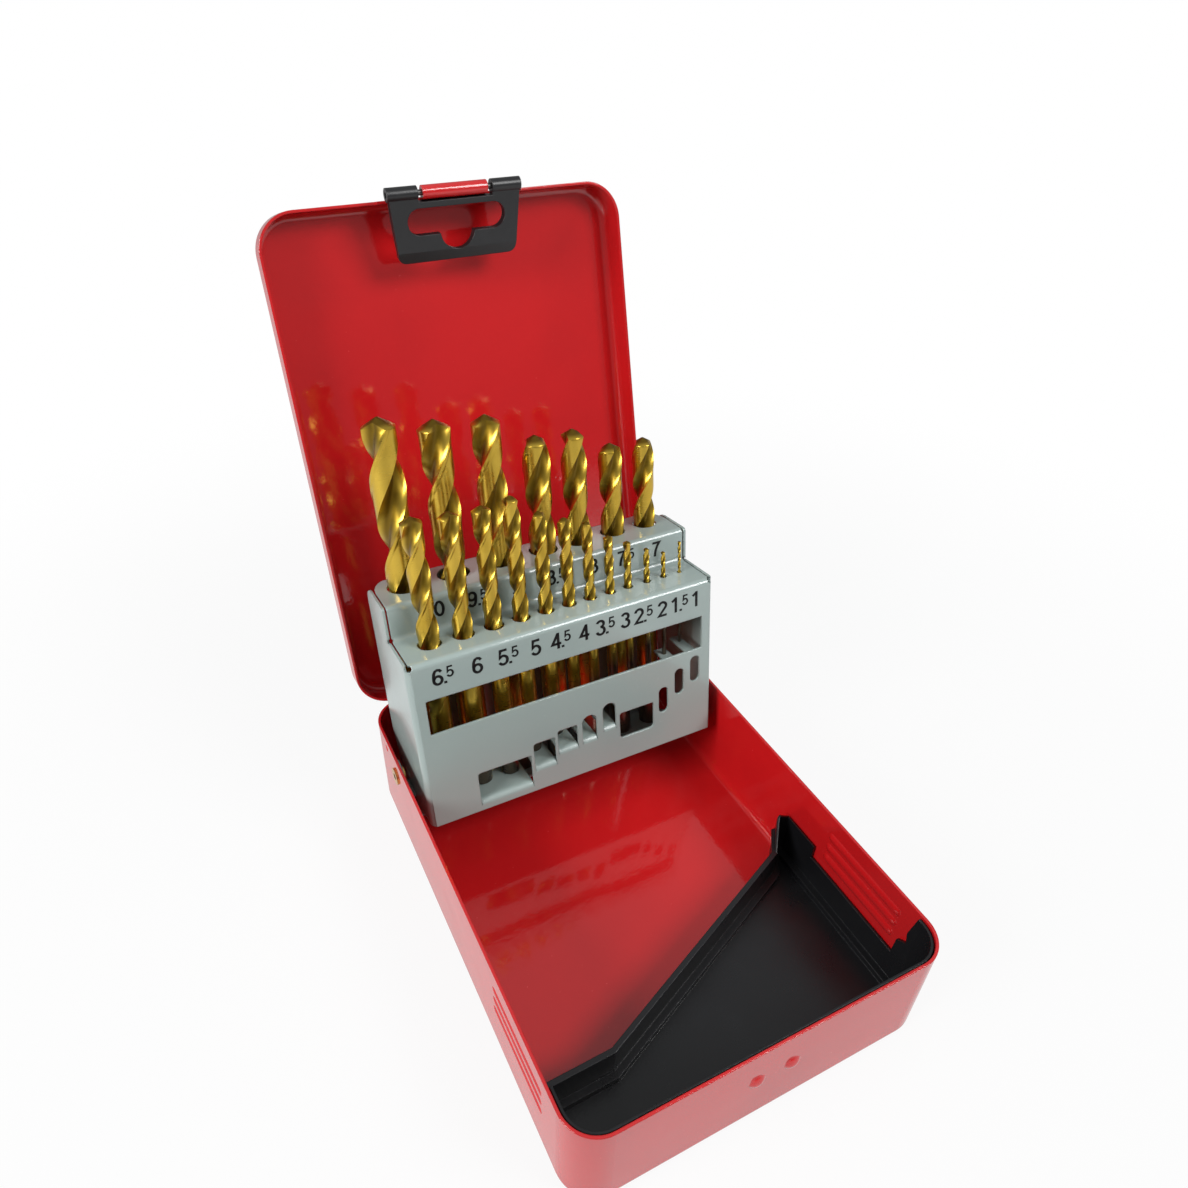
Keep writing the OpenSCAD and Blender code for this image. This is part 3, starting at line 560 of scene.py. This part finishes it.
@dataclass(frozen=True)
class Drill:
    """A two-flute twist drill that stands in the index.

    Its place and length come from the frame's box of the same node. The diameter and the flute's
    length are in millimetres, the phase is in turns, and other lengths are shares of the diameter.
    The point is the angle between its cone and the section.
    """

    diameter: float
    flute: float
    phase: float
    lead: float = 5.44
    sides: int = 88
    turn_steps: int = 110
    least_steps: int = 24
    web: float = 0.44
    point: float = math.radians(31)
    point_rings: tuple[float, ...] = (0.98, 0.8, 0.6, 0.4, 0.24, 0.12)
    land: float = 0.46
    margin: float = 0.07
    relief: float = 0.05
    hollow_ease: float = 0.8
    runout: float = 1.1
    runout_ease: float = 0.6
    chamfer: float = 0.08
    end: float = 0.82
    shank_rings: tuple[float, ...] = (0.35, 0.7)

    @property
    def node(self) -> str:
        """The frame's node of this drill."""
        return size_name("bit_", self.diameter)

    @property
    def radius(self) -> float:
        """The radius in metres."""
        return self.diameter * MM / 2

    def section(self, share: float, depth: float) -> float:
        """Radius at a place round the section.

        Args:
            share: Place round half the section, 0 to 1.
            depth: Depth of the flute, 0 at the shank to 1.

        Returns:
            The radius as a share of the full radius.
        """
        if share < self.margin:
            return 1.0
        if share < self.land:
            return 1.0 - self.relief * depth
        across = (share - self.land) / (1.0 - self.land)
        hollow = math.sin(math.pi * across ** self.hollow_ease) ** self.hollow_ease
        return 1.0 - self.relief * depth - (1.0 - self.relief - self.web) * depth * hollow

    def ring(self, verts: Sequence[bmesh.types.BMVert], z: float, turned: float, depth: float,
             scale: float = 1.0, cone: float | None = None) -> None:
        """Shapes one ring of vertices.

        Args:
            verts: The ring, in order.
            z: Height of the ring in metres.
            turned: Height that the flutes have turned over, in metres.
            depth: Depth of the flutes there.
            scale: Share of the section's size.
            cone: Height of the point, for rings on the point's cone.
        """
        turn = 2 * math.pi * (turned / (self.lead * self.diameter * MM) + self.phase)
        for i, vert in enumerate(verts):
            share = (2 * i / len(verts)) % 1.0
            r = self.radius * scale * self.section(share, depth)
            angle = 2 * math.pi * i / len(verts) + turn
            height = z if cone is None else cone - r * math.tan(self.point)
            vert.co = Vector((r * math.cos(angle), r * math.sin(angle), height))

    def heights(self, length: float) -> list[tuple[float, float]]:
        """Rings from the flute's run-out to the point's shoulder, with the depth of each.

        Args:
            length: Length of the drill in metres.

        Returns:
            Pairs of height and depth.
        """
        d = self.diameter * MM
        top = length - self.radius * math.tan(self.point)
        start = length - self.flute * MM
        turns = (top - start) / (self.lead * d)
        steps = max(self.least_steps, round(turns * self.turn_steps))
        rows = []
        for i in range(steps + 1):
            z = start + (top - start) * i / steps
            rows.append((z, min(1.0, (z - start) / (self.runout * d)) ** self.runout_ease))
        return rows

    def mesh(self, length: float) -> bmesh.types.BMesh:
        """Builds the drill upright on the origin.

        Args:
            length: Length of the drill in metres.

        Returns:
            The mesh.
        """
        bm = bmesh.new()
        verts = bmesh.ops.create_circle(bm, segments=self.sides, radius=self.radius)["verts"]
        edges = list(bm.edges)
        rows = self.heights(length)
        start, shoulder = rows[0][0], rows[-1][0]

        def grow(z: float, depth: float, scale: float = 1.0, cone: float | None = None) -> None:
            """Extrudes the ring and shapes the new one."""
            nonlocal verts, edges
            made = bmesh.ops.extrude_edge_only(bm, edges=edges)["geom"]
            fresh = {v for v in made if isinstance(v, bmesh.types.BMVert)}
            verts = [next(o for o in (e.other_vert(v) for e in v.link_edges) if o in fresh)
                     for v in verts]
            edges = [e for e in made
                     if isinstance(e, bmesh.types.BMEdge) and fresh.issuperset(e.verts)]
            self.ring(verts, z, max(z, start), depth, scale, cone)

        chamfer = self.chamfer * self.diameter * MM
        self.ring(verts, 0.0, start, 0.0, self.end)
        bmesh.ops.contextual_create(bm, geom=edges)
        grow(chamfer, 0.0)
        for share in self.shank_rings:
            grow(chamfer + (start - chamfer) * share, 0.0)
        for z, depth in rows:
            grow(z, depth)
        for scale in self.point_rings:
            grow(shoulder, 1.0, scale, length)
        bmesh.ops.contextual_create(bm, geom=edges)
        bmesh.ops.recalc_face_normals(bm, faces=bm.faces)
        return bm


# Diameter, flute length and phase of each drill, front row first.
DRILLS: tuple[Drill, ...] = tuple(Drill(*sizes) for sizes in (
    (6.5, 63, 0.20), (6, 57, 0.17), (5.5, 56, 0.40), (5, 56, 0.47), (4.5, 44, 0.42), (4, 40, 0.17),
    (3.5, 37, 0.05), (3, 30, 0.38), (2.5, 27, 0.30), (2, 22, 0.47), (1.5, 16, 0.07), (1, 11, 0.08),
    (10, 87, 0.42), (9.5, 81, 0.01), (9, 81, 0.34), (8.5, 75, 0.10), (8, 75, 0.01), (7.5, 69, 0.38),
    (7, 69, 0.24)))


@dataclass
class DrillSet:
    """The nineteen drills in the index."""

    lean: Vector
    coat: GoldCoat = GoldCoat()
    bare: float = 15 * MM
    sharp: float = 50.0

    def place(self, drill: Drill) -> tuple[Vector, float]:
        """Reads a drill's place from the frame.

        Args:
            drill: The drill.

        Returns:
            The middle of its shank's end, and its length in metres.
        """
        low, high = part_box(drill.node)
        base = Vector(((low.x + high.x) / 2, low.y + drill.radius * self.lean.z,
                       low.z + drill.radius * self.lean.y))
        return base, (high.z - base.z) / self.lean.z

    def build(self) -> None:
        """Builds every drill and puts it in place."""
        turn = Vector((0, 0, 1)).rotation_difference(self.lean).to_matrix().to_4x4()
        for drill in DRILLS:
            base, length = self.place(drill)
            bm = drill.mesh(length)
            bmesh.ops.transform(bm, matrix=Matrix.Translation(base) @ turn, verts=bm.verts)
            material = self.coat.build(base, self.lean, drill.radius, self.bare)
            piece = finish_mesh(bm, size_name("drill_", drill.diameter), material, self.sharp)
            carry(piece, drill.node)
            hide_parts(drill.node)


# ---------------------------------------------------------------- numbers


FIGURE_WIDTH = 0.56


def arc(middle: Point, radii: Point, start: float, end: float, steps: int = 14) -> list[Point]:
    """Points along an elliptical arc.

    Args:
        middle: The ellipse's middle.
        radii: Its half width and half height.
        start: First angle in degrees.
        end: Last angle in degrees.
        steps: Number of straight pieces.

    Returns:
        The points.
    """
    turns = [math.radians(start + (end - start) * i / steps) for i in range(steps + 1)]
    return [(middle[0] + radii[0] * math.cos(t), middle[1] + radii[1] * math.sin(t))
            for t in turns]


SIX_SIDE: list[Point] = [(0.085, 0.31), (0.09, 0.52), (0.12, 0.73), (0.19, 0.88), (0.30, 0.9325),
                         (0.41, 0.90), (0.49, 0.78)]
SIX_RING: list[Point] = arc((0.285, 0.31), (0.20, 0.2425), 0, 360, 24)

# Middle lines of the strokes of each figure, in shares of its height.
FIGURES: dict[str, list[list[Point]]] = {
    "0": [arc((0.28, 0.5), (0.21, 0.4325), 0, 360, 28)],
    "1": [[(0.34, 0.0), (0.34, 1.0)], [(0.34, 0.92), (0.11, 0.74)]],
    "2": [arc((0.28, 0.70), (0.21, 0.2325), 172, -25) + [(0.075, 0.0675), (0.53, 0.0675)]],
    "3": [arc((0.27, 0.74), (0.185, 0.1925), 162, -90),
          arc((0.27, 0.3075), (0.215, 0.24), 90, -165)],
    "4": [[(0.385, 0.93), (0.075, 0.31), (0.56, 0.31)], [(0.40, 0.0), (0.40, 1.0)]],
    "5": [[(0.50, 0.9325), (0.16, 0.9325), (0.105, 0.50)]
          + arc((0.275, 0.335), (0.215, 0.2675), 140, -155)],
    "6": [SIX_RING, SIX_SIDE],
    "7": [[(0.05, 0.9325), (0.50, 0.9325), (0.37, 0.72), (0.27, 0.46), (0.22, 0.22),
           (0.205, 0.0)]],
    "8": [arc((0.28, 0.735), (0.17, 0.1975), 0, 360, 20),
          arc((0.28, 0.3025), (0.21, 0.235), 0, 360, 24)],
    "9": [[(FIGURE_WIDTH - x, 1.0 - y) for x, y in line] for line in (SIX_RING, SIX_SIDE)],
    ".": [[(0.08, 0.0), (0.08, 0.14)]],
}


@dataclass
class Numbers:
    """Printed sizes on the face and the riser of the index.

    Strokes, gaps and advances are shares of a figure's height.
    """

    origin: Vector
    up: Vector
    back: Vector
    height: float = 5.4 * MM
    small: float = 0.68
    stroke: float = 0.15
    mitre: float = 0.5
    wide: float = 1.12
    advance: float = 0.64
    half_gap: float = 0.17
    merge: float = 1e-4
    lift: float = 0.04 * MM
    face_row: float = 49.8 * MM
    riser_row: float = 62.0 * MM
    riser_in: float = 16.5 * MM
    riser_size: float = 0.95
    riser_shift: dict[float, float] = field(default_factory=lambda: {
        10: 4.8, 9.5: 3.0, 9: 0.6, 8.5: -1.2, 8: -0.4, 7.5: -1.4, 7: -2.1})

    def ribbon(self, line: Sequence[Point], place: Matrix, size: float) -> bmesh.types.BMesh:
        """Makes one stroke as a thin solid strip.

        Args:
            line: The stroke's middle line.
            place: Where the figure's foot goes.
            size: The figure's height in metres.

        Returns:
            The mesh.
        """
        bm = bmesh.new()
        last = len(line) - 1
        bmesh.ops.create_grid(bm, x_segments=last, y_segments=1, size=1.0)
        closed = math.dist(line[0], line[-1]) < self.merge
        for vert in bm.verts:
            i = round((vert.co.x + 1.0) / 2 * last)
            before = line[i - 1] if i else (line[-2] if closed else line[0])
            after = line[i + 1] if i < last else (line[1] if closed else line[-1])
            ways = [(Vector(q) - Vector(p)).normalized()
                    for p, q in ((before, line[i]), (line[i], after)) if p != q]
            way = sum(ways, Vector((0, 0))).normalized()
            reach = self.stroke / 2 / max(self.mitre, way.dot(ways[0]))
            side = 1 if vert.co.y > 0 else -1
            spot = Vector(line[i]) + Vector((-way.y, way.x)) * side * reach
            vert.co = Vector((spot.x * self.wide * size, spot.y * size, 0))
        bmesh.ops.remove_doubles(bm, verts=bm.verts, dist=size * self.merge)
        bmesh.ops.recalc_face_normals(bm, faces=bm.faces)
        bmesh.ops.solidify(bm, geom=list(bm.faces), thickness=self.lift)
        bmesh.ops.recalc_face_normals(bm, faces=bm.faces)
        bmesh.ops.transform(bm, matrix=place, verts=bm.verts)
        return bm

    def label(self, size: float, x: float, row: float, depth: float, scale: float,
              ink: bpy.types.Material) -> None:
        """Prints one size, with a half as a small raised figure.

        Args:
            size: Drill diameter in millimetres.
            x: Middle of the label across the index in metres.
            row: Height of the label's foot on the index in metres.
            depth: Distance of the printed face behind the front face in metres.
            scale: Share of the full height of the figures.
            ink: The material.
        """
        tall = self.height * scale
        whole, half = divmod(size, 1)
        figure = FIGURE_WIDTH * self.wide
        marks = [(i * self.advance, 0.0, 1.0, c) for i, c in enumerate(f"{whole:g}")]
        width = self.advance * (len(marks) - 1) + figure
        if half:
            marks += [(width, 0.0, 1.0, "."),
                      (width + self.half_gap, 1.0 - self.small, self.small, "5")]
            width += self.half_gap + figure * self.small
        turn = Matrix(((1, 0, 0), tuple(self.up), tuple(-self.back))).transposed().to_4x4()
        foot = self.origin + self.up * row + self.back * (depth - self.lift)
        bm = bmesh.new()
        for shift, rise, share, mark in marks:
            spot = foot + Vector((x + (shift - width / 2) * tall, 0, 0)) + self.up * (rise * tall)
            for line in FIGURES[mark]:
                strip = self.ribbon(line, Matrix.Translation(spot) @ turn, tall * share)
                mesh = bpy.data.meshes.new("strip")
                strip.to_mesh(mesh)
                strip.free()
                bm.from_mesh(mesh)
                bpy.data.meshes.remove(mesh)
        carry(finish_mesh(bm, size_name("number_", size), ink), "index")

    def build(self) -> None:
        """Prints all sizes over their holes."""
        ink = Ink().build()
        for drill in DRILLS:
            low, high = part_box(drill.node)
            x = (low.x + high.x) / 2
            if drill.diameter in self.riser_shift:
                x += self.riser_shift[drill.diameter] * MM
                self.label(drill.diameter, x, self.riser_row, self.riser_in, self.riser_size, ink)
            else:
                self.label(drill.diameter, x, self.face_row, 0.0, 1.0, ink)


# ---------------------------------------------------------------- case


@dataclass
class Case:
    """The nodes that keep their shape and get a finish."""

    nodes: dict[str, bpy.types.Object]
    finishes: tuple[tuple[Finish, tuple[str, ...]], ...] = (
        (Enamel("red_enamel", (0.53, 0.010, 0.012), (0.48, 0.009, 0.011), gloss=0.75),
         ("base_shell", "lid_shell")),
        (Enamel("grey_enamel", (0.315, 0.385, 0.365), (0.29, 0.355, 0.34), roughness=0.16,
                peel_scale=650.0, peel_depth=0.00003, gloss=0.7),
         ("bit_index",)),
        (Metal("rivet_brass", (0.72, 0.45, 0.13)), ("rivet_left", "rivet_right")),
        (Metal("drawn_wire", (0.13, 0.125, 0.12), 0.42), ("hinge_wire", "clasp_pin")),
        (Plastic("clasp_plastic", roughness=0.36), ("clasp",)),
        (Plastic("tray_plastic", (0.006, 0.006, 0.007), roughness=0.3, scuffs=1.3),
         ("insert_tray",)))

    def build(self) -> None:
        """Dresses every node of the case."""
        for finish, names in self.finishes:
            material = finish.build()
            for name in names:
                dress(self.nodes[name], material)


# ---------------------------------------------------------------- studio


@dataclass
class Studio:
    """Camera, floor and light.

    The camera was fitted to the case's edges: its picture is measured in pixels of a square image,
    and its place in millimetres. The floor's stops hold distances from the middle in metres.
    """

    image: float = 1188.0
    focal: float = 898.73
    centre: tuple[float, float] = (579.71, 610.88)
    eye: Triple = (-94.386, -146.017, 245.031)
    forward: Triple = (0.36767, 0.69876, -0.61364)
    right: Triple = (0.89229, -0.45097, 0.02109)
    sensor: float = 36.0
    near: float = 0.01
    floor_half: float = 6.0
    floor_grey: Colour = (0.62, 0.62, 0.62)
    floor_clear: Stops = ((0.16, 0.90), (0.42, 1.0))
    floor_mirrored: Stops = ((0.12, 0.60), (0.5, 0.24))
    sky: Colour = (0.96, 0.98, 1.0)
    horizon: float = 0.13
    zenith: float = 0.52
    zenith_from: float = 0.9
    aim: Triple = (0, 0.02, 0.05)
    lamps: tuple[tuple[str, Triple, float, float], ...] = (
        ("key", (0.5, -0.6, 0.8), 0.42, 7.4), ("left_fill", (-0.8, -0.1, 0.5), 0.40, 7.2))

    def camera(self) -> None:
        """Puts the camera where the photograph was taken."""
        data = bpy.data.cameras.new("camera")
        data.sensor_width = self.sensor
        data.lens = self.focal / self.image * data.sensor_width
        data.shift_x = (self.image / 2 - self.centre[0]) / self.image
        data.shift_y = (self.centre[1] - self.image / 2) / self.image
        data.clip_start = self.near
        camera = bpy.data.objects.new("camera", data)
        ahead = Vector(self.forward).normalized()
        side = Vector(self.right)
        side = (side - ahead * side.dot(ahead)).normalized()
        up = side.cross(ahead)
        camera.matrix_world = Matrix.Translation(Vector(self.eye) * MM) @ Matrix(
            (side, up, -ahead)).transposed().to_4x4()
        bpy.context.scene.collection.objects.link(camera)
        bpy.context.scene.camera = camera

    def floor(self) -> None:
        """Lays the pale floor, white to the eye away from the case and shaded beside it."""
        g = Graph.material("pale_floor")
        diffuse = g.out(g.node("ShaderNodeBsdfDiffuse", None, {"Color": self.floor_grey}))
        glow = g.out(g.node("ShaderNodeEmission", None, {"Color": WHITE, "Strength": 1.0}))
        path = g.node("ShaderNodeLightPath")
        away = g.out(g.node("ShaderNodeVectorMath", {"operation": "LENGTH"}, {0: g.place()}),
                     "Value")
        bounced = g.math("MAXIMUM", g.out(path, "Is Glossy Ray"),
                         g.out(path, "Is Transmission Ray"))
        seen = g.math("MAXIMUM", g.out(path, "Is Camera Ray") * g.ramp(away, self.floor_clear),
                      bounced * g.ramp(away, self.floor_mirrored))
        g.surface(g.out(g.node("ShaderNodeMixShader", None, {0: seen, 1: diffuse, 2: glow})))
        bm = bmesh.new()
        bmesh.ops.create_grid(bm, x_segments=1, y_segments=1, size=self.floor_half)
        plane = finish_mesh(bm, "floor", g.owner)

    def lamp(self, name: str, place: Triple, size: float, power: float) -> None:
        """Hangs a square softbox that looks at the case.

        Args:
            name: The lamp's name.
            place: Where it hangs, in metres.
            size: Its side in metres.
            power: Its power in watts.
        """
        data = bpy.data.lights.new(name, "AREA")
        data.shape = "SQUARE"
        data.size = size
        data.energy = power
        made = bpy.data.objects.new(name, data)
        turn = (Vector(self.aim) - Vector(place)).to_track_quat("-Z", "Y")
        made.matrix_world = Matrix.Translation(Vector(place)) @ turn.to_matrix().to_4x4()
        bpy.context.scene.collection.objects.link(made)

    def world(self) -> None:
        """Surrounds the object with light that grows towards the zenith, white to the camera."""
        g = Graph(bpy.data.worlds.new("studio"))
        rise = g.axis(g.out(g.node("ShaderNodeTexCoord"), "Generated"), "Z")
        grow = g.out(g.node("ShaderNodeMapRange", None, {0: rise, 1: 0.0, 2: self.zenith_from,
                                                         3: self.horizon, 4: self.zenith}))
        shade = g.out(g.node("ShaderNodeBackground", None, {"Color": self.sky, "Strength": grow}))
        white = g.out(g.node("ShaderNodeBackground", None, {"Color": WHITE, "Strength": 1.0}))
        seen = g.out(g.node("ShaderNodeLightPath"), "Is Camera Ray")
        mixed = g.out(g.node("ShaderNodeMixShader", None, {0: seen, 1: shade, 2: white}))
        g.node("ShaderNodeOutputWorld", None, {"Surface": mixed})
        bpy.context.scene.world = g.owner

    def build(self) -> None:
        """Sets up the studio."""
        self.camera()
        self.floor()
        self.world()
        for lamp in self.lamps:
            self.lamp(*lamp)
        bpy.context.scene.view_settings.view_transform = "Standard"


# ---------------------------------------------------------------- assembly


FACE_DEPTH = 0.05 * MM


def index_frame(joints: Iterable[dict],
                nodes: dict[str, bpy.types.Object]) -> tuple[Vector, Vector, Vector]:
    """Finds the index's own directions and its front face's lower edge.

    Args:
        joints: The record's joints.
        nodes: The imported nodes.

    Returns:
        The lower edge's middle, the way up along the face, and the way back through the sheet.
    """
    up = Vector(next(j["axis"] for j in joints if j["name"] == "bit_10_lift")).normalized()
    back = Vector((0, up.z, -up.y))
    points = [v.co for v in nodes["bit_index"].data.vertices]
    low = min(point.dot(back) for point in points)
    foot = min(point.dot(up) for point in points if point.dot(back) < low + FACE_DEPTH)
    return back * low + up * foot, up, back


def main() -> None:
    """Builds the scene in order."""
    logging.basicConfig(level=logging.INFO)
    for thing in list(bpy.data.objects):
        bpy.data.objects.remove(thing)
    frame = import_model()
    Studio().build()
    origin, up, back = index_frame(frame["joints"], frame["nodes"])
    Case(frame["nodes"]).build()
    DrillSet(up).build()
    Numbers(origin, up, back).build()


if __name__ == "__main__":
    main()
